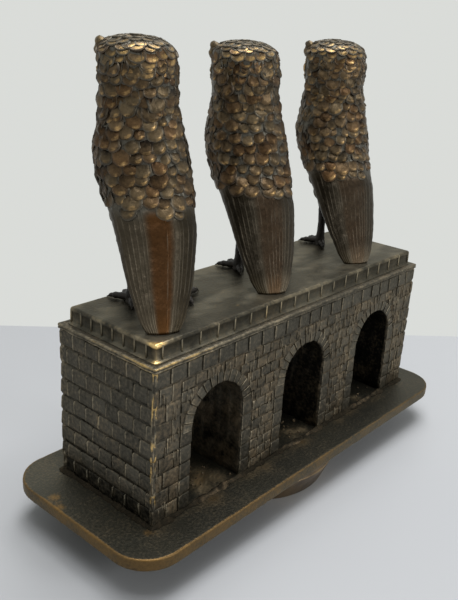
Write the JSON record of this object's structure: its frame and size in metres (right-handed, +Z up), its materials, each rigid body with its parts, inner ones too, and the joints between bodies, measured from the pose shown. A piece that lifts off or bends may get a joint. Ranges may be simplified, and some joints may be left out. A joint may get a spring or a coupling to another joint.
{
  "type": "owl figurine",
  "caption": "Cast bronze statuette of owls perched in a row on a brick arcade, standing on a rounded plate with a turned round foot",
  "frame": {"origin": "on the table, under the middle of the round foot and of the plate", "axes": "+Z up, +X along the wall, -Y the side that the owls face"},
  "size_m": [0.1412, 0.055, 0.1267],
  "materials": {
    "plate_bronze": "dark patina, worn at the rim",
    "wall_bronze": "brown patina, worn at the edges",
    "owl_bronze": "brown patina, rubbed bright on raised feathers",
    "leg_bronze": "near black, rough cast",
    "braze": "dull",
    "steel": "dull"
  },
  "bodies": {
    "root": {"base_plate": "plate_bronze", "round_foot": "plate_bronze", "foot_bolt": "steel", "foot_washer": "steel", "arcade_wall": "wall_bronze", "wall_fillet": "braze", "tie_bolts": "steel", "deck": "wall_bronze", "owl_left": "owl_bronze", "owl_centre": "owl_bronze", "owl_right": "owl_bronze", "owl_left_left_leg": "leg_bronze", "owl_left_right_leg": "leg_bronze", "owl_centre_left_leg": "leg_bronze", "owl_centre_right_leg": "leg_bronze", "owl_right_left_leg": "leg_bronze", "owl_right_right_leg": "leg_bronze", "stud_washers": "steel", "stud_nuts": "braze"}
  },
  "joints": []
}
